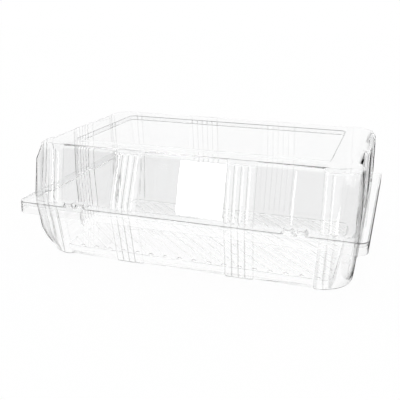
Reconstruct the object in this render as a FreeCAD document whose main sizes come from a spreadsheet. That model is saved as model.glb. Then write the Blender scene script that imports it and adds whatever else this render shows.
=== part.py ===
import FreeCAD
import Part

import math
import os

# Clear hinged clamshell pack, formed from one thin sheet of plastic.
# X runs along the long sides, +Y points to the hinge side and +Z is up.
# The origin is the middle of the footprint, on the surface that it stands on.

doc = FreeCAD.newDocument("clamshell_pack")

# Driving dimensions, in millimetres and degrees

driving = {
    "sheet_gauge": 0.45,
    "rim_length": 250.0,
    "rim_width": 175.0,
    "rim_corner": 7.0,
    "parting_height": 40.8,
    "rim_step": 2.0,
    "rim_gap": 0.3,
    "lip_clearance": 0.35,
    "skirt_drop": 5.8,
    "flare_start": 0.5,
    "flare_run": 0.8,
    "wall_setback_ends": 6.7,
    "wall_setback_sides": 7.0,
    "wall_corner": 10.0,
    "tray_lean_ends": 2.5,
    "tray_lean_sides": 6.5,
    "tray_foot_round": 3.0,
    "tray_bevel": 26.0,
    "tray_bevel_rise": 20.0,
    "lid_rise": 44.2,
    "lid_collar": 5.0,
    "lid_lean_ends": 0.5,
    "lid_lean_sides": 5.5,
    "lid_shoulder": 4.0,
    "lid_bevel": 18.0,
    "lid_bevel_drop": 12.0,
    "flute_pitch": 4.65,
    "flute_bulge": 1.0,
    "bay_recess": 2.0,
    "bay_step": 1.0,
    "front_left_offset": 45.3,
    "front_right_offset": 39.3,
    "front_left_shift": 4.0,
    "back_group_offset": 35.0,
    "panel_length": 189.0,
    "panel_width": 103.0,
    "panel_drop": 1.8,
    "panel_corner": 4.0,
    "foot_band": 13.0,
    "floor_lift": 2.5,
    "floor_corner": 8.0,
    "rib_pitch": 8.0,
    "rib_radius": 1.6,
    "rib_height": 1.1,
    "rib_angle": 45.0,
    "rib_margin": 2.0,
    "snap_offset": 78.5,
    "button_pitch": 9.0,
    "button_base": 8.6,
    "button_crown": 5.6,
    "button_rise": 2.9,
    "button_reach": 6.5,
    "button_clearance": 0.35,
}

# Flutes in each group of a wall, counted and not measured

CORNER_FLUTES = 2
FRONT_FLUTES = 4
BACK_FLUTES = 6
END_FLUTES = 6

# Straight facets that stand for one flute, one corner column and one rib

FLUTE_FACETS = 4
COLUMN_FACETS = 10
RIB_FACETS = 4

sheet = doc.addObject("Spreadsheet::Sheet", "sizes")
for row, (alias, value) in enumerate(driving.items(), start=1):
    sheet.set("A%d" % row, alias)
    sheet.set("B%d" % row, "%g" % value)
    sheet.setAlias("B%d" % row, alias)
doc.recompute()


def size(alias):
    return float(sheet.get(alias))


gauge = size("sheet_gauge")
parting = size("parting_height")
rim_level = parting + size("rim_step")
lid_level = rim_level + size("rim_gap")
nest = gauge + size("lip_clearance")
half_rim_x = size("rim_length") / 2
half_rim_y = size("rim_width") / 2
half_wall_x = half_rim_x - size("wall_setback_ends")
half_wall_y = half_rim_y - size("wall_setback_sides")
pitch = size("flute_pitch")


# Outlines: a closed plan outline is a polygon, run anticlockwise from the front

def flute_points(begin, bulge, nominal):
    """(along, out) points of one flute after its first valley, up to its last one."""
    if bulge <= 0:
        return [(begin + pitch * step / FLUTE_FACETS, 0.0) for step in range(1, FLUTE_FACETS + 1)]
    radius = (pitch ** 2 / 4 + nominal ** 2) / (2 * nominal)
    half_angle = math.asin(pitch / 2 / radius)
    points = []
    for step in range(1, FLUTE_FACETS + 1):
        angle = half_angle * (2.0 * step / FLUTE_FACETS - 1.0)
        rise = radius * (math.cos(angle) - math.cos(half_angle))
        points.append((begin + pitch / 2 + radius * math.sin(angle), rise * bulge / nominal))
    return points


def side_run(half_span, groups, bulge, recess):
    """One wall as (along, out) points, where out is measured from the flute roots."""
    nominal = size("flute_bulge")
    corner_run = CORNER_FLUTES * pitch
    spans = [(-half_span, CORNER_FLUTES)]
    for centre, count in groups:
        spans.append((centre - count * pitch / 2, count))
    spans.append((half_span - corner_run, CORNER_FLUTES))
    step = size("bay_step")
    points = [(-half_span, 0.0)]
    for index, (begin, count) in enumerate(spans):
        if index:
            points += [(begin - step, -recess), (begin, 0.0)]
        for flute in range(count):
            points += flute_points(begin + flute * pitch, bulge, nominal)
        if index < len(spans) - 1:
            points.append((begin + count * pitch + step, -recess))
    return points


def column_points(centre, radius, bulge, spread):
    """(along, out) points around a corner column, up to the next wall's first valley."""
    points = []
    for step in range(1, COLUMN_FACETS):
        angle = -spread + (math.pi / 2 + 2 * spread) * step / COLUMN_FACETS
        along = centre + radius * math.sin(angle)
        out = radius * math.cos(angle) - (radius - bulge)
        if angle < 0:
            out = max(out, 0.0)
        if angle > math.pi / 2:
            along = max(along, centre + radius - bulge)
        points.append((along, out))
    return points


def wall_outline(half_x, half_y, corner, bulge, recess, level, shift, bevel):
    """Closed list of points of a fluted plan outline with crests on half_x and half_y.

    shift moves the front wall's left group along, and bevel is the radius of a round
    corner that everything beyond it is drawn back to."""
    nominal = size("flute_bulge")
    root_x = half_x - nominal
    root_y = half_y - nominal
    full = size("wall_corner")
    spread = math.acos((full - nominal) / full)
    reach = full * math.sin(spread)
    left = size("front_left_offset") - shift
    right = size("front_right_offset")
    back = size("back_group_offset")
    walls = (
        (0.0, half_x - corner, root_y, [(-left, FRONT_FLUTES), (right, FRONT_FLUTES)]),
        (90.0, half_y - corner, root_x, [(0.0, END_FLUTES)]),
        (180.0, half_x - corner, root_y, [(-back, BACK_FLUTES), (back, BACK_FLUTES)]),
        (270.0, half_y - corner, root_x, [(0.0, END_FLUTES)]),
    )
    keep_x = half_x - bevel
    keep_y = half_y - bevel
    outline = []
    for turn, centre, root, groups in walls:
        spin = FreeCAD.Rotation(FreeCAD.Vector(0, 0, 1), turn)
        run = side_run(centre - reach, groups, bulge, recess)
        run += column_points(centre, corner - nominal + bulge, bulge, spread)
        for along, out in run:
            flat = spin.multVec(FreeCAD.Vector(along, -(root + out), 0))
            over_x = abs(flat.x) - keep_x
            over_y = abs(flat.y) - keep_y
            far = math.hypot(over_x, over_y)
            if over_x > 0 and over_y > 0 and far > bevel:
                over_x *= bevel / far
                over_y *= bevel / far
                flat.x = math.copysign(keep_x + over_x, flat.x)
                flat.y = math.copysign(keep_y + over_y, flat.y)
            outline.append(FreeCAD.Vector(flat.x, flat.y, level))
    return outline + outline[:1]


def rounded_outline(x_low, x_high, y_low, y_high, corner, level):
    """Plain rectangle with round corners, as a wire."""
    lean = corner * (1 - math.sqrt(0.5))
    edges = []
    corners = ((x_high, y_low, -1, 1), (x_high, y_high, -1, -1),
               (x_low, y_high, 1, -1), (x_low, y_low, 1, 1))
    ends = []
    for index, (x, y, in_x, in_y) in enumerate(corners):
        along_x = FreeCAD.Vector(x + in_x * corner, y, level)
        along_y = FreeCAD.Vector(x, y + in_y * corner, level)
        middle = FreeCAD.Vector(x + in_x * lean, y + in_y * lean, level)
        first, last = (along_x, along_y) if index % 2 == 0 else (along_y, along_x)
        ends.append((first, middle, last))
    for index, (first, middle, last) in enumerate(ends):
        edges.append(Part.makeLine(ends[index - 1][2], first))
        edges.append(Part.Arc(first, middle, last).toShape())
    return Part.Wire(edges)


def lofted(wires):
    """Closed solid with straight rulings from each wire to the next."""
    return Part.makeLoft(wires, True, True)


def tapered_block(x_half, y_half, corner, low, high, spread):
    """Rounded block that is wider by spread on every side at its high end."""
    return lofted([
        rounded_outline(-x_half, x_half, -y_half, y_half, corner, low),
        rounded_outline(-x_half - spread, x_half + spread, -y_half - spread,
                        y_half + spread, corner + spread, high),
    ])


def round_levels(radius, steps):
    """(inset, rise) pairs along a quarter round that ends flat."""
    angles = [math.radians(90.0 * step / steps) for step in range(steps + 1)]
    return [(radius * (1 - math.cos(a)), radius * math.sin(a)) for a in angles]


FLUTE_FADE = {2: (1.0, 0.5, 0.0), 3: (1.0, 0.8, 0.35, 0.0)}
BAY_FADE = {2: (1.0, 0.8, 0.3), 3: (1.0, 0.9, 0.6, 0.35)}


def cup_rings(lean, levels, radius, steps, bevels, shift, inset):
    """Outlines of a fluted cup from its mouth to its closed end.

    levels are the mouth, where the wall starts to lean, where the corner bevels start,
    and the closed end. lean is how far the ends and sides lean in, and bevels is the
    corner radius at the start and at the end of the bevels. inset moves the whole cup
    inwards by the gauge, for the inner face of the sheet."""
    mouth, bend, cut, end = levels
    way = 1 if end > mouth else -1
    corner = size("wall_corner") - inset
    bulge = size("flute_bulge")
    recess = size("bay_recess")
    inner_radius = radius - inset
    turn = end - way * inner_radius
    middle = (cut + turn) / 2

    def at(level, inward, fade, bay, bevel):
        part = max(0.0, min(1.0, (level - bend) / (turn - bend)))
        return wall_outline(half_wall_x - inset - lean[0] * part - inward,
                            half_wall_y - inset - lean[1] * part - inward,
                            corner - inward, bulge * fade, recess * bay, level,
                            shift * part, bevel - inset - inward)

    first, last = bevels
    rings = [at(mouth, 0.0, 1.0, 1.0, first)]
    if bend != mouth:
        rings.append(at(bend, 0.0, 1.0, 1.0, first))
    rings.append(at(cut, 0.0, 1.0, 1.0, first))
    if last - first > 10.0:
        rings.append(at(middle, 0.0, 1.0, 1.0, first + (last - first) * 0.35))
    for step, (inward, rise) in enumerate(round_levels(inner_radius, steps)):
        rings.append(at(turn + way * rise, inward, FLUTE_FADE[steps][step],
                        BAY_FADE[steps][step], last))
    return rings


def flat_face(points):
    return Part.Face(Part.makePolygon(list(points) + [points[0]]))


def band_faces(low, high):
    """Faces between two outlines: flat quads, or pairs of triangles where they twist."""
    faces = []
    for index in range(len(low) - 1):
        a, b, c, d = low[index], low[index + 1], high[index + 1], high[index]
        normal = (b - a).cross(d - a)
        if abs((c - a).dot(normal)) <= 0.0001 * normal.Length:
            faces.append(flat_face((a, b, c, d)))
        else:
            faces += [flat_face((a, b, c)), flat_face((a, c, d))]
    return faces


def cup_shell(outer, inner):
    """Thin cup between two lists of outlines that start at the same level."""
    faces = []
    for rings in (outer, inner):
        for low, high in zip(rings, rings[1:]):
            faces += band_faces(low, high)
        faces.append(Part.Face(Part.makePolygon(rings[-1])))
    faces += band_faces(inner[0], outer[0])
    shell = Part.Compound(faces)
    shell.sewShape()
    solid = Part.Solid(shell.Shells[0])
    if solid.Volume < 0:
        solid.reverse()
    return solid


def mouth_prism(level, low, high):
    """Upright block that fills a cup's mouth to the middle of its sheet."""
    half = gauge / 2
    ring = wall_outline(half_wall_x - half, half_wall_y - half, size("wall_corner") - half,
                        size("flute_bulge"), size("bay_recess"), level + low, 0.0, 0.0)
    return Part.Face(Part.makePolygon(ring)).extrude(FreeCAD.Vector(0, 0, high - low))


def feature(name, shape):
    """Document object that holds a shape made above."""
    item = doc.addObject("Part::Feature", name)
    item.Shape = shape
    return item


def placed(item, axis, formula):
    """Bind one coordinate of an object's place to the sheet."""
    item.setExpression("Placement.Base." + axis, formula)
    return item


def fused(name, items):
    item = doc.addObject("Part::MultiFuse", name)
    item.Shapes = items
    return item


def cut(name, base, tool):
    item = doc.addObject("Part::Cut", name)
    item.Base = base
    item.Tool = tool
    return item


# Rim: a flat plate with round front corners and square ends at the hinge line

def rim_outline(inset, back_y, level):
    corner = size("rim_corner") - inset
    lean = corner * (1 - math.sqrt(0.5))
    x = half_rim_x - inset
    y = -half_rim_y + inset
    spots = [(x - corner, y), (x - lean, y + lean), (x, y + corner), (x, back_y),
             (-x, back_y), (-x, y + corner), (-x + lean, y + lean), (-x + corner, y)]
    p = [FreeCAD.Vector(along, across, level) for along, across in spots]
    return Part.Wire([
        Part.Arc(p[0], p[1], p[2]).toShape(),
        Part.makeLine(p[2], p[3]),
        Part.makeLine(p[3], p[4]),
        Part.makeLine(p[4], p[5]),
        Part.Arc(p[5], p[6], p[7]).toShape(),
        Part.makeLine(p[7], p[0]),
    ])


def tray_rim(inset, back_y, top):
    """Rim of the tray: upright under the lid's lip, then flared out to the skirt."""
    flare_top = parting - size("flare_start")
    flare_low = flare_top - size("flare_run")
    return lofted([
        rim_outline(inset, back_y, parting - size("skirt_drop") - inset),
        rim_outline(inset, back_y, flare_low),
        rim_outline(nest + inset, back_y, flare_top),
        rim_outline(nest + inset, back_y, top),
    ])


def lid_rim(inset, back_y, low, top):
    return lofted([rim_outline(inset, back_y, low), rim_outline(inset, back_y, top)])


# Snaps: pairs of hollow buttons on the front rim, between two groups of flutes

def button(shrink, low, high, y_front, y_back):
    """Prism with a wide foot and a narrow crown, made smaller by shrink on its flanks."""
    foot = size("button_base") / 2 - shrink
    crown = size("button_crown") / 2 - shrink
    corners = [(-foot, low), (foot, low), (crown, high), (-crown, high)]
    points = [FreeCAD.Vector(x, y_front, z) for x, z in corners]
    points.append(points[0])
    return Part.Face(Part.makePolygon(points)).extrude(FreeCAD.Vector(0, y_back - y_front, 0))


button_places = ["%d * sizes.snap_offset + %d * sizes.button_pitch / 2" % (side, hand)
                 for side in (-1, 1) for hand in (-1, 1)]
button_back_y = -half_rim_y + size("button_reach")
button_top = lid_level + gauge + size("button_rise")


def button_row(name, shape):
    """A copy of one button's shape at each place along the front rim."""
    return [placed(feature("%s_%d" % (name, index), shape), "x", place)
            for index, place in enumerate(button_places)]


def lid_button():
    """Outer and inner prisms of one button of the lid."""
    outer = button(0.0, lid_level, button_top, -half_rim_y, button_back_y)
    inner = button(gauge, lid_level - gauge, button_top - gauge,
                   -half_rim_y + gauge, button_back_y - gauge)
    return outer, inner


def tray_button():
    """Outer and inner prisms of the tray's button that fits inside the lid's."""
    spare = size("button_clearance")
    top = button_top - gauge - spare
    y_front = -half_rim_y + nest
    y_back = button_back_y - gauge - spare
    outer = button(gauge + spare, rim_level - gauge / 2, top, y_front, y_back)
    inner = button(2 * gauge + spare, rim_level - 2 * gauge, top - gauge,
                   y_front + gauge, y_back - gauge)
    return outer, inner


# Tray: fluted cup, rim with a flared skirt, raised floor with hollow ribs, buttons

def build_tray():
    beyond = half_rim_y + gauge
    rim_solid = feature("tray_rim_solid", tray_rim(0.0, half_rim_y, rim_level))
    rim_hollow = feature("tray_rim_hollow", tray_rim(gauge, beyond, rim_level - gauge))
    rim_shell = cut("tray_rim", rim_solid, rim_hollow)

    lean_x = size("tray_lean_ends")
    lean_y = size("tray_lean_sides")
    foot = size("tray_foot_round")
    bevels = (size("wall_corner"), size("tray_bevel"))
    shift = size("front_left_shift") / 2

    def rings(end, inset):
        levels = (rim_level, rim_level, size("tray_bevel_rise"), end)
        return cup_rings((lean_x, lean_y), levels, foot, 2, bevels, shift, inset)

    cup = feature("tray_cup", cup_shell(rings(0.0, 0.0), rings(gauge, gauge)))
    mouth = feature("tray_mouth", mouth_prism(rim_level, -2 * gauge, gauge))
    rim = cut("tray_rim_ring", rim_shell, mouth)

    floor_x = half_wall_x - lean_x - size("foot_band")
    floor_y = half_wall_y - lean_y - size("foot_band")
    lift = size("floor_lift")
    round_off = size("floor_corner")
    plateau = tapered_block(floor_x, floor_y, round_off, gauge + lift, 0.0, lift / 2)
    recess = tapered_block(floor_x - gauge, floor_y - gauge, round_off - gauge,
                           lift, -gauge, (lift + gauge) / 2)
    ribs = floor_ribs(floor_x, floor_y, gauge + lift)
    raised = feature("tray_floor_raised", plateau)
    recess_cut = feature("tray_floor_recess", recess)
    groove_cut = placed(feature("tray_rib_grooves", ribs), "z", "-sizes.sheet_gauge")
    rib_solid = feature("tray_ribs", ribs)

    outer, inner = tray_button()
    solids = button_row("stud_solid", outer)
    hollows = button_row("stud_hollow", inner)

    solid = fused("tray_solid", [rim, cup, raised, rib_solid] + solids)
    hollow = fused("tray_hollow", [recess_cut, groove_cut] + hollows)
    tray = cut("tray_part", solid, hollow)
    tray.Label = "base_tray"
    return tray


def rib_profile(level):
    """(across, height) points of a rib's low round section, rising from level."""
    radius = size("rib_radius")
    sink = radius - size("rib_height")
    half_angle = math.acos(sink / radius)
    crown = []
    for step in range(RIB_FACETS + 1):
        angle = half_angle * (1.0 - 2.0 * step / RIB_FACETS)
        crown.append((radius * math.sin(angle), level - sink + radius * math.cos(angle)))
    foot = level - gauge / 2
    return [(crown[0][0], foot)] + crown + [(crown[-1][0], foot)]


def floor_ribs(floor_x, floor_y, level):
    """Low ribs that cross the raised floor on a slant."""
    reach = floor_x + floor_y
    angle = math.radians(size("rib_angle"))
    along = FreeCAD.Vector(math.cos(angle), -math.sin(angle), 0)
    across = FreeCAD.Vector(math.sin(angle), math.cos(angle), 0)
    margin = size("rib_margin")
    field = tapered_block(floor_x - margin, floor_y - margin, size("floor_corner") - margin,
                          level - gauge, level + size("rib_radius"), 0.0)
    section = rib_profile(level)
    rods = []
    count = int(reach / size("rib_pitch"))
    for index in range(-count, count + 1):
        middle = across * (index * size("rib_pitch")) - along * reach
        points = [middle + across * aside + FreeCAD.Vector(0, 0, height)
                  for aside, height in section]
        rod = flat_face(points).extrude(along * (2 * reach))
        piece = rod.common(field)
        if piece.Volume > size("rib_radius") ** 3:
            rods.append(piece)
    return Part.makeCompound(rods)


# Lid: taller fluted cup with a collar, a sunk panel in its top, a lip and buttons

def build_lid():
    top = parting + size("lid_rise")
    bend = parting + size("lid_collar")
    lean = (size("lid_lean_ends"), size("lid_lean_sides"))
    bevels = (size("wall_corner"), size("lid_bevel"))
    shoulder = size("lid_shoulder")

    def rings(end, inset):
        levels = (lid_level, bend, top - size("lid_bevel_drop"), end)
        return cup_rings(lean, levels, shoulder, 3, bevels, size("front_left_shift"), inset)

    cup = feature("lid_cup", cup_shell(rings(top, 0.0), rings(top - gauge, gauge)))

    drop = size("panel_drop")
    panel_x = (size("panel_length") - drop) / 2
    panel_y = (size("panel_width") - drop) / 2
    corner = size("panel_corner")
    sunk = tapered_block(panel_x, panel_y, corner, -drop, gauge, (drop + gauge) / 2)
    backing = tapered_block(panel_x + gauge, panel_y + gauge, corner + gauge,
                            -drop - gauge, 0.0, (drop + gauge) / 2)
    lid_top = "sizes.parting_height + sizes.lid_rise"
    panel = placed(feature("lid_panel", backing), "z", lid_top)
    panel_cut = placed(feature("lid_panel_recess", sunk), "z", lid_top)

    beyond = half_rim_y + gauge
    rim_solid = feature("lid_rim_solid", lid_rim(0.0, half_rim_y, parting, lid_level + gauge))
    rim_hollow = feature("lid_rim_hollow", lid_rim(gauge, beyond, parting - gauge, lid_level))
    rim_shell = cut("lid_rim", rim_solid, rim_hollow)
    mouth = feature("lid_mouth", mouth_prism(lid_level, -gauge, 2 * gauge))
    rim = cut("lid_rim_ring", rim_shell, mouth)

    outer, inner = lid_button()
    solids = button_row("button_solid", outer)
    hollows = button_row("button_hollow", inner)

    solid = fused("lid_solid", [rim, cup, panel] + solids)
    hollow = fused("lid_hollow", [panel_cut] + hollows)
    lid = cut("lid_part", solid, hollow)
    lid.Label = "lid"
    return lid


nodes = [build_tray(), build_lid()]
doc.recompute()

# Every object has to be sound before anything is written

for item in doc.Objects:
    if "Invalid" in item.State or "Error" in item.State:
        raise RuntimeError("object failed: " + item.Name)
for item in nodes:
    shape = item.Shape
    if shape.isNull() or not shape.isValid() or len(shape.Solids) != 1:
        raise RuntimeError("bad solid: " + item.Label + " %d" % len(shape.Solids))

os.makedirs("parts", exist_ok=True)
for item in nodes:
    item.Shape.exportStep(os.path.join("parts", item.Label + ".step"))
    box = item.Shape.BoundBox
    print("%s: %.1f cubic centimetres, %.2f x %.2f x %.2f mm, from z %.2f" % (
        item.Label, item.Shape.Volume / 1000, box.XLength, box.YLength, box.ZLength, box.ZMin))
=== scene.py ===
# %% [markdown]
# # A clear clamshell pack on a white table
# A food pack of this kind is one thin sheet of clear plastic, drawn over a mould into a tray
# and a lid with a hinge between them. Its shapes could be modelled again here, but they are
# already right in the CAD model. So the CAD model is loaded, and this script only gives it
# a finish, a table and a studio.

import bmesh
import bpy
import math
from mathutils import Matrix, Vector


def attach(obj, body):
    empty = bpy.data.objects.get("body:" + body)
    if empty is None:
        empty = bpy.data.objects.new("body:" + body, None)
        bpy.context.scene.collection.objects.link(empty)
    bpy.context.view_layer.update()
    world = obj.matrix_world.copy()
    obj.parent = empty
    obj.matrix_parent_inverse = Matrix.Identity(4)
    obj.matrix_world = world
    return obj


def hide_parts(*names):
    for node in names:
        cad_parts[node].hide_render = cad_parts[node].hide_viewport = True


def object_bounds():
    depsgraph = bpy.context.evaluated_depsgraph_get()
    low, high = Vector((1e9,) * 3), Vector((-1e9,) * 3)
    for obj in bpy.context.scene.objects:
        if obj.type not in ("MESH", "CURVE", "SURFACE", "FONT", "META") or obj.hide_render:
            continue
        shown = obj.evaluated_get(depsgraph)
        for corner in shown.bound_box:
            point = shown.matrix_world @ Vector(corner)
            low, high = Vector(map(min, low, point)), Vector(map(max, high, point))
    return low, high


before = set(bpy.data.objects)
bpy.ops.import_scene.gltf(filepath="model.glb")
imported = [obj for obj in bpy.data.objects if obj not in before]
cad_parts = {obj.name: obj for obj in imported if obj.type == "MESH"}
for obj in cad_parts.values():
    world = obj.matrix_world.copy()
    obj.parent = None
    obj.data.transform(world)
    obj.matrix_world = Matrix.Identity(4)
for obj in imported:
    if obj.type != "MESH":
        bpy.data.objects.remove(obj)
at_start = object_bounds()
half_length = at_start[1].x
half_width = at_start[1].y
height = at_start[1].z
print("frame:", sorted(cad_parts))
print("pack:", round(2 * half_length, 4), "by", round(2 * half_width, 4), "by", round(height, 4), "m")

# %% [markdown]
# ## Camera
# The camera stands to the right of the front side and looks down at the lid. It could be
# aimed by a constraint at an empty, but then its roll couldn't be set. Three angles turn it
# instead: they build its own right, up and forward directions, which are the columns of its
# matrix. The angles and the lens come from matching the rims and the top edges of the pack.

# %% Place the camera
CAMERA_AT = Vector((0.1348, -0.4576, 0.1872))
YAW = math.radians(17.85)
PITCH = math.radians(18.11)
ROLL = math.radians(0.64)
LENS = 55.98
SENSOR_WIDTH = 36.0
NEAREST_SEEN = 0.01
FARTHEST_SEEN = 50.0

ahead = math.cos(PITCH)
forward = Vector((-math.sin(YAW) * ahead, math.cos(YAW) * ahead, -math.sin(PITCH)))
level_right = Vector((math.cos(YAW), math.sin(YAW), 0.0))
level_up = level_right.cross(forward)
right = math.cos(ROLL) * level_right + math.sin(ROLL) * level_up
up = -math.sin(ROLL) * level_right + math.cos(ROLL) * level_up
turn = Matrix((right, up, -forward)).transposed().to_4x4()

camera_data = bpy.data.cameras.new("photo_camera")
camera_data.lens = LENS
camera_data.sensor_width = SENSOR_WIDTH
camera_data.clip_start = NEAREST_SEEN
camera_data.clip_end = FARTHEST_SEEN
camera = bpy.data.objects.new("photo_camera", camera_data)
camera.matrix_world = Matrix.Translation(CAMERA_AT) @ turn
bpy.context.scene.collection.objects.link(camera)
bpy.context.scene.camera = camera
print("camera at", tuple(round(c, 4) for c in CAMERA_AT))

# %% [markdown]
# ## Node helpers
# A material could be wired with one long list of new nodes and links, but such a list is hard
# to read. Here a socket takes either a plain value or the output of another node, and one
# helper sets or links it. The four others each add one node and give back its output, so
# that a tone can be written down like a sum.

# %% Write the node helpers
def feed(tree, socket, source):
    """Link a socket to an output, or set it to a plain value."""
    if isinstance(source, bpy.types.NodeSocket):
        tree.links.new(source, socket)
    else:
        socket.default_value = source


def maths(tree, operation, first, second=0.0):
    node = tree.nodes.new("ShaderNodeMath")
    node.operation = operation
    feed(tree, node.inputs[0], first)
    feed(tree, node.inputs[1], second)
    return node.outputs["Value"]


def fade(tree, value, low, high, at_low, at_high):
    """Change evenly from one tone to another while the value goes from low to high."""
    node = tree.nodes.new("ShaderNodeMapRange")
    feed(tree, node.inputs["Value"], value)
    feed(tree, node.inputs["From Min"], low)
    feed(tree, node.inputs["From Max"], high)
    feed(tree, node.inputs["To Min"], at_low)
    feed(tree, node.inputs["To Max"], at_high)
    return node.outputs["Result"]


def mix(tree, kind, share, first, second):
    node = tree.nodes.new("ShaderNodeMix")
    node.data_type = kind
    feed(tree, node.inputs["Factor"], share)
    feed(tree, node.inputs["A"], first)
    feed(tree, node.inputs["B"], second)
    return node.outputs["Result"]


def marked(tree, attribute):
    """Read a mark that the mesh carries at its points."""
    node = tree.nodes.new("ShaderNodeAttribute")
    node.attribute_name = attribute
    return node.outputs["Fac"]


print("node helpers: feed, maths, fade, mix, marked")

# %% [markdown]
# ## Tint and painted shade of a thin sheet
# A clear sheet has hardly any tone of its own, so beside a faint tint the grey that this group gives
# it is painted shade, which stands in for the light that edges, folds and bays bend away. Tray and
# lid could each have their own copy of the nodes for this. They share one group instead, with named
# inputs, so that each gives it its own tint and depths of painted shade. What depends on the eye, the
# facing and the depth of the ray, is read in the material and handed in.

# %% Open the tone group
sheet_tint_and_shade = bpy.data.node_groups.new("sheet_tint_and_shade", "ShaderNodeTree")
for label, kind in (("Facing", "NodeSocketFloat"), ("Ray Depth", "NodeSocketFloat"),
                    ("Tint", "NodeSocketColor"), ("Valley Shade", "NodeSocketFloat"),
                    ("Bay And Corner Shade", "NodeSocketFloat")):
    sheet_tint_and_shade.interface.new_socket(label, in_out="INPUT", socket_type=kind)
sheet_tint_and_shade.interface.new_socket("Tone", in_out="OUTPUT", socket_type="NodeSocketColor")

given = sheet_tint_and_shade.nodes.new("NodeGroupInput").outputs
shown = sheet_tint_and_shade.nodes.new("NodeGroupOutput").inputs
print("tone group takes:", ", ".join(name for name in given.keys() if name))

# %% [markdown]
# ## Painted shade at the edges of the walls
# On the real pack a wall that is seen edge on is a dark line, because the light runs along inside the
# sheet. Thicker walls would show this by themselves, but not a sheet this thin. So the colour of the
# wall is darkened as it turns away from the eye, which is painted shade in place of that dark line.
# Level faces, which are the rims and the panel, stay clear: their normal points up, and its height
# fades the effect out.

# %% Paint shade on the edges of the walls
EDGE_START = 0.50
EDGE_TONE = 0.0

facets = sheet_tint_and_shade.nodes.new("ShaderNodeTexCoord")
upright = sheet_tint_and_shade.nodes.new("ShaderNodeSeparateXYZ")
feed(sheet_tint_and_shade, upright.inputs["Vector"], facets.outputs["Normal"])
level = maths(sheet_tint_and_shade, "ABSOLUTE", upright.outputs["Z"])
turned_away = fade(sheet_tint_and_shade, given["Facing"], EDGE_START, 1.0, 1.0, EDGE_TONE)
# Painted shade: the colour of an upright wall goes dark as it turns edge on.
painted_edge_shade = mix(sheet_tint_and_shade, "FLOAT", level, turned_away, 1.0)
print("edges: darker past a facing of", EDGE_START)

# %% [markdown]
# ## Painted shade in valleys, bays and corners
# The valleys between the flutes are folded sharply and look grey at a slant, as they bend the light
# away, and the deep drawn bays and corners look a little grey as well. Both greys are painted shade
# in the colour of the sheet. The Pointiness of the Geometry node could find such folds, but it blurs
# over the long faces of a plain wall. So the mesh carries two marks of its own, one for the valleys
# and one for the bays and corners, which are read here and written further down.

# %% Paint shade into the valleys, bays and corners
VALLEY_FROM = 0.10
VALLEY_TO = 0.60

# Painted shade in the valleys: a grey that grows as they slant away from the eye.
slanted = fade(sheet_tint_and_shade, given["Facing"], VALLEY_FROM, VALLEY_TO, 0.0, given["Valley Shade"])
valley_loss = maths(sheet_tint_and_shade, "MULTIPLY", slanted, marked(sheet_tint_and_shade, "valleys"))
valley = maths(sheet_tint_and_shade, "SUBTRACT", 1.0, valley_loss)
# Painted shade in the bays and corners: a fixed grey where the mesh marks them.
bay_and_corner_shading = fade(sheet_tint_and_shade, marked(sheet_tint_and_shade, "bay_and_corner_shade"), 0.0, 1.0, 1.0, given["Bay And Corner Shade"])
painted_fold_shade = maths(sheet_tint_and_shade, "MULTIPLY", valley, bay_and_corner_shading)
print("valleys: grey from a facing of", VALLEY_FROM, "to", VALLEY_TO)

# %% [markdown]
# ## Walls behind walls
# Through the front wall the real pack shows its back wall only faintly. Every wall could keep
# its full tone, but then the lines of four sheets add up to a tangle. The depth of the ray
# says how many faces the light has passed, and past the first sheet the tones are fainter.

# %% Fade the walls behind
NEAR_DEPTH = 1.5
FAR_DEPTH = 2.5
FAR_SHARE = 0.25
BLACK = (0.0, 0.0, 0.0, 1.0)

all_tones = maths(sheet_tint_and_shade, "MULTIPLY", painted_edge_shade, painted_fold_shade)
near = fade(sheet_tint_and_shade, given["Ray Depth"], NEAR_DEPTH, FAR_DEPTH, 1.0, FAR_SHARE)
seen_tone = mix(sheet_tint_and_shade, "FLOAT", near, 1.0, all_tones)
feed(sheet_tint_and_shade, shown["Tone"], mix(sheet_tint_and_shade, "RGBA", seen_tone, BLACK, given["Tint"]))
print("tone group:", len(sheet_tint_and_shade.nodes), "nodes")

# %% [markdown]
# ## Clear plastic
# The real sheet is polished and so thin that it hardly bends the light, while its face
# mirrors like any plastic. One glass with the true index would do both, but it bends the
# walls behind too much. So the glass has a low index for what goes through, and a coat with
# the true index for what is mirrored. The picture follows a ray through only so many faces
# and shows black after the last, so the later ones are left out by the Alpha.

# %% Make the plastic
THIN_INDEX = 1.25
PLASTIC_INDEX = 1.57
LAYERS_SEEN = 7.5
TRAY_TINT = (0.998, 0.999, 0.999, 1.0)
# The lid is the same sheet as the tray, but its tint is a little greyer: painted shade that greys the
# lid's panel.
LID_TINT_AND_SHADE = (0.975, 0.977, 0.978, 1.0)
TRAY_MIRROR = 0.7
LID_MIRROR = 1.0
# Depth of the painted shade in the valleys of tray and lid.
TRAY_VALLEY_SHADE = 0.75
LID_VALLEY_SHADE = 0.85
# Tone of the painted shade in the bays and corners of tray and lid.
TRAY_BAY_AND_CORNER_SHADE = 0.99
LID_BAY_AND_CORNER_SHADE = 0.92


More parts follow.
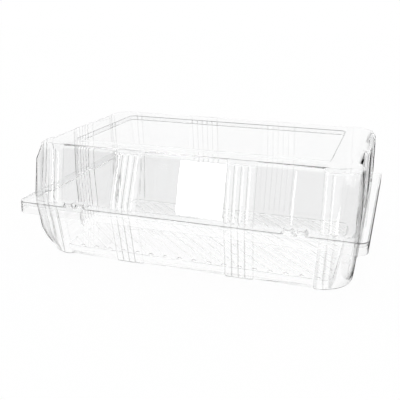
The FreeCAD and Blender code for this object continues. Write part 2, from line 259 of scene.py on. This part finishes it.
def clear_plastic(name, tint, mirror, valley_shade, bay_and_corner_shade_tone):
    material = bpy.data.materials.new(name)
    material.use_nodes = True
    tree = material.node_tree
    shader = tree.nodes["Principled BSDF"]
    shader.inputs["Metallic"].default_value = 0.0
    shader.inputs["Transmission Weight"].default_value = 1.0
    shader.inputs["Roughness"].default_value = 0.0
    shader.inputs["IOR"].default_value = THIN_INDEX
    shader.inputs["Coat Weight"].default_value = mirror
    shader.inputs["Coat Roughness"].default_value = 0.0
    shader.inputs["Coat IOR"].default_value = PLASTIC_INDEX
    turned = tree.nodes.new("ShaderNodeLayerWeight")
    path = tree.nodes.new("ShaderNodeLightPath")
    tone = tree.nodes.new("ShaderNodeGroup")
    tone.node_tree = sheet_tint_and_shade
    feed(tree, turned.inputs["Blend"], 0.5)
    feed(tree, tone.inputs["Facing"], turned.outputs["Facing"])
    feed(tree, tone.inputs["Ray Depth"], path.outputs["Ray Depth"])
    feed(tree, tone.inputs["Tint"], tint)
    feed(tree, tone.inputs["Valley Shade"], valley_shade)
    feed(tree, tone.inputs["Bay And Corner Shade"], bay_and_corner_shade_tone)
    feed(tree, shader.inputs["Base Color"], tone.outputs["Tone"])
    solid = maths(tree, "LESS_THAN", path.outputs["Ray Depth"], LAYERS_SEEN)
    feed(tree, shader.inputs["Alpha"], solid)
    return material


plastics = {
    "tray_plastic": clear_plastic(
        "tray_plastic_clear", TRAY_TINT, TRAY_MIRROR, TRAY_VALLEY_SHADE, TRAY_BAY_AND_CORNER_SHADE),
    "lid_plastic": clear_plastic(
        "lid_plastic_clear", LID_TINT_AND_SHADE, LID_MIRROR, LID_VALLEY_SHADE, LID_BAY_AND_CORNER_SHADE),
}
print("materials:", sorted(plastics))

# %% [markdown]
# ## Marks on the sheet
# The folds of the real pack run up its walls. They could be painted on by hand as a vertex
# group, but the mesh can tell them by itself. Only long, steep edges count, which keeps the
# floor and the rims clean. A sharp fold between two narrow faces is a valley between flutes.
# A sharp fold beside a wide face is the edge of a bay, and a row of narrow faces that turn
# gently is a corner.

# %% Mark the folds of a sheet
NARROW = 0.003
LONG = 0.006
STEEP = 0.7
VALLEY_TURN = math.radians(35.0)
COLUMN_TURN = math.radians(17.0)
COLUMN_LEAST = math.radians(3.0)
# Share of painted shade at the edge of a bay; a corner gets the full share.
BAY_EDGE_SHADE = 0.75


def mark_sheet(work):
    """Mark the points of the valleys between flutes, and those of the bays and corners, which get
    painted shade.
    """
    valleys = work.verts.layers.float.new("valleys")
    bay_and_corner_shade = work.verts.layers.float.new("bay_and_corner_shade")
    for edge in work.edges:
        if len(edge.link_faces) != 2:
            continue
        run = edge.verts[1].co - edge.verts[0].co
        if run.length < LONG or abs(run.z) < STEEP * run.length:
            continue
        turn = edge.calc_face_angle(0.0)
        widths = [2.0 * face.calc_area() / run.length for face in edge.link_faces]
        narrow = max(widths) < NARROW
        if turn > VALLEY_TURN and narrow:
            layer, share = valleys, 1.0
        elif turn > VALLEY_TURN:
            layer, share = bay_and_corner_shade, BAY_EDGE_SHADE
        elif narrow and COLUMN_LEAST < turn < COLUMN_TURN:
            layer, share = bay_and_corner_shade, 1.0
        else:
            continue
        for vert in edge.verts:
            vert[layer] = share


print("marks: valleys between flutes, haze in bays and corners")

# %% [markdown]
# ## Sheets
# Tray and lid are drawn smooth over the mould, while their rims have crisp folds. The CAD
# meshes are loose triangles, which can only be shaded flat. They stay as they are, and a
# copy takes the place of each: its points are merged, its sharp folds are marked, and a
# Weighted Normal modifier lets the large faces steer the shading, so that flat bays look flat.

# %% Copy the CAD sheets
SEAM = 0.000004
FOLD = math.radians(40.0)
FLAT_FACE_WEIGHT = 50


def smooth_copy(node, slot_name, body):
    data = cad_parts[node].data.copy()
    piece = bpy.data.objects.new(node + "_sheet", data)
    bpy.context.scene.collection.objects.link(piece)
    work = bmesh.new()
    work.from_mesh(data)
    bmesh.ops.remove_doubles(work, verts=work.verts, dist=SEAM)
    mark_sheet(work)
    for face in work.faces:
        face.smooth = True
    for edge in work.edges:
        edge.smooth = len(edge.link_faces) == 2 and edge.calc_face_angle(math.pi) < FOLD
    work.to_mesh(data)
    work.free()
    if data.has_custom_normals:
        with bpy.context.temp_override(object=piece, active_object=piece):
            bpy.ops.mesh.customdata_custom_splitnormals_clear()
    data.materials.clear()
    data.materials.append(plastics[slot_name])
    weighted = piece.modifiers.new("weighted_normals", "WEIGHTED_NORMAL")
    weighted.mode = "FACE_AREA"
    weighted.weight = FLAT_FACE_WEIGHT
    weighted.keep_sharp = True
    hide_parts(node)
    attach(piece, body)
    print(node, "sheet:", len(data.vertices), "points,", len(data.polygons), "faces")


smooth_copy("base_tray", "tray_plastic", "tray")
smooth_copy("lid", "lid_plastic", "lid")

# %% [markdown]
# ## Surround
# Clear plastic shows what stands round it. Lamps would give it hard glints, and a dark world
# would turn its back walls black from some sides. So the light is a plain soft white from
# all sides, and nothing behind the walls darkens them.

# %% Light the surround
WHITE = (1.0, 1.0, 1.0, 1.0)

world = bpy.data.worlds.new("white_surround")
world.use_nodes = True
world.node_tree.nodes["Background"].inputs["Color"].default_value = WHITE
world.node_tree.nodes["Background"].inputs["Strength"].default_value = 1.0
bpy.context.scene.world = world
bpy.context.scene.view_settings.view_transform = "Standard"
print("surround:", world.name)

# %% [markdown]
# ## Table
# The table is a wide pale floor. A matt white floor alone turns out greyer than the surround,
# with a hard horizon, and a glowing one alone takes no shadow. So the eye, also through the
# plastic or in its mirror, gets a mix of both: mostly an even glow, with a little of the
# matt face left in for the soft shadow of the pack.

# %% Lay the table
TABLE_GLOW = 0.97
TABLE_TONE = (0.95, 0.95, 0.95, 1.0)
TABLE_WIDTH = 6.0
TABLE_DROP = 0.0002


def flat_sheet(name, corner, along, across, material):
    """Stand or lay a flat sheet that two edges span from a corner."""
    centre = Vector(corner) + (Vector(along) + Vector(across)) / 2
    facing = Vector(along).cross(Vector(across)).normalized()
    spread = Matrix((along, across, facing)).transposed().to_4x4()
    work = bmesh.new()
    bmesh.ops.create_grid(work, x_segments=1, y_segments=1, size=0.5,
                          matrix=Matrix.Translation(centre) @ spread)
    data = bpy.data.meshes.new(name)
    work.to_mesh(data)
    work.free()
    data.materials.append(material)
    item = bpy.data.objects.new(name, data)
    bpy.context.scene.collection.objects.link(item)
    return item


def table_material():
    material = bpy.data.materials.new("table_white")
    material.use_nodes = True
    tree = material.node_tree
    tree.nodes.clear()
    matt = tree.nodes.new("ShaderNodeBsdfDiffuse")
    glow = tree.nodes.new("ShaderNodeEmission")
    path = tree.nodes.new("ShaderNodeLightPath")
    mixed = tree.nodes.new("ShaderNodeMixShader")
    out = tree.nodes.new("ShaderNodeOutputMaterial")
    seen = maths(tree, "MAXIMUM", path.outputs["Is Camera Ray"], path.outputs["Is Transmission Ray"])
    seen_or_mirrored = maths(tree, "MAXIMUM", seen, path.outputs["Is Glossy Ray"])
    feed(tree, matt.inputs["Color"], TABLE_TONE)
    feed(tree, glow.inputs["Color"], WHITE)
    feed(tree, mixed.inputs["Fac"], maths(tree, "MULTIPLY", seen_or_mirrored, TABLE_GLOW))
    feed(tree, mixed.inputs[1], matt.outputs["BSDF"])
    feed(tree, mixed.inputs[2], glow.outputs["Emission"])
    feed(tree, out.inputs["Surface"], mixed.outputs["Shader"])
    return material


flat_sheet("table", (-TABLE_WIDTH / 2, -TABLE_WIDTH / 2, -TABLE_DROP),
           (TABLE_WIDTH, 0.0, 0.0), (0.0, TABLE_WIDTH, 0.0), table_material())
print("table:", TABLE_WIDTH, "m wide")

# %% [markdown]
# ## Cards
# A photographer shapes clear plastic by what it mirrors: dark cards draw its edges, and a
# soft light draws its faces. Real cards would also shade the table and show through the
# pack. These are flat sheets with a plain glow of their own, and the eye sees them only as
# the plastic mirrors them, so that the pack looks clean from every side.

# %% Make a card
def emitter(name, tone):
    material = bpy.data.materials.new(name)
    material.use_nodes = True
    tree = material.node_tree
    tree.nodes.clear()
    glow = tree.nodes.new("ShaderNodeEmission")
    out = tree.nodes.new("ShaderNodeOutputMaterial")
    feed(tree, glow.inputs["Color"], (tone, tone, tone, 1.0))
    feed(tree, glow.inputs["Strength"], 1.0)
    feed(tree, out.inputs["Surface"], glow.outputs["Emission"])
    return material


def card(name, corner, along, across, material):
    """Flat sheet that is seen only in what the plastic mirrors."""
    item = flat_sheet(name, corner, along, across, material)
    item.visible_camera = False
    item.visible_diffuse = False
    item.visible_transmission = False
    item.visible_shadow = False


print("cards: seen only in what the plastic mirrors")

# %% [markdown]
# ## Dark cloths and a flag at the ends
# The end walls of the real pack are seen almost edge on, and they mirror the dark part of the
# studio. Taller cards would do this too, but they would also darken the rims and the panel.
# So black cloths lie flat beside the pack and reach under its rim, and the only flag that
# stands, at the right, is as low as the pack.

# %% Lay the cloths and stand the end flag
CLOTH_UNDER_RIM = 0.008
CLOTH_WIDTH = 0.5
CLOTH_FRONT = -0.3
CLOTH_LENGTH = 0.9
CLOTH_LEVEL = 0.0004
FLAG_GAP = 0.025
FLAG_LENGTH = 0.28

black = emitter("black_flag", 0.0)
cloth_from = half_length - CLOTH_UNDER_RIM
for name, side in (("left_cloth", -1.0), ("right_cloth", 1.0)):
    card(name, (side * cloth_from, CLOTH_FRONT, CLOTH_LEVEL),
         (side * CLOTH_WIDTH, 0.0, 0.0), (0.0, CLOTH_LENGTH, 0.0), black)
card("right_flag", (half_length + FLAG_GAP, -FLAG_LENGTH / 2, 0.0),
     (0.0, FLAG_LENGTH, 0.0), (0.0, 0.0, height), black)
print("cloths from", round(cloth_from, 4), "m outwards, and one low flag")

# %% [markdown]
# ## Front flag and soft light
# The front bays of the lid mirror a grey studio with one bright square and one thin bright
# line in it. An image could be mirrored there, but three cards do the same: a wide dark flag
# gives the grey, an upright soft light before it gives the square, and a narrow gap of light
# gives the line. Their height is what the leaning front wall mirrors, up to its shoulder.

# %% Stand the front flag and the soft light
FRONT_DISTANCE = 0.2025
FRONT_FLAG_BEHIND = 0.01
FRONT_FLAG_WIDTH = 0.9
FRONT_FLAG_HEIGHT = 0.15
FRONT_FLAG_TONE = 0.02
LIGHT_LEFT = -0.0790
LIGHT_WIDTH = 0.0504
LIGHT_HEIGHT = 0.105
LIGHT_TONE = 14.0
GAP_LEFT = 0.0423
GAP_WIDTH = 0.0015
GAP_TONE = 5.0

light_y = -half_width - FRONT_DISTANCE
card("front_flag", (-FRONT_FLAG_WIDTH / 2, light_y - FRONT_FLAG_BEHIND, 0.0),
     (FRONT_FLAG_WIDTH, 0.0, 0.0), (0.0, 0.0, FRONT_FLAG_HEIGHT),
     emitter("grey_flag", FRONT_FLAG_TONE))
card("soft_light", (LIGHT_LEFT, light_y, 0.0),
     (LIGHT_WIDTH, 0.0, 0.0), (0.0, 0.0, LIGHT_HEIGHT), emitter("soft_light", LIGHT_TONE))
card("light_gap", (GAP_LEFT, light_y, 0.0),
     (GAP_WIDTH, 0.0, 0.0), (0.0, 0.0, LIGHT_HEIGHT), emitter("light_gap", GAP_TONE))
print("soft light and gap of light at y =", round(light_y, 4), "m")
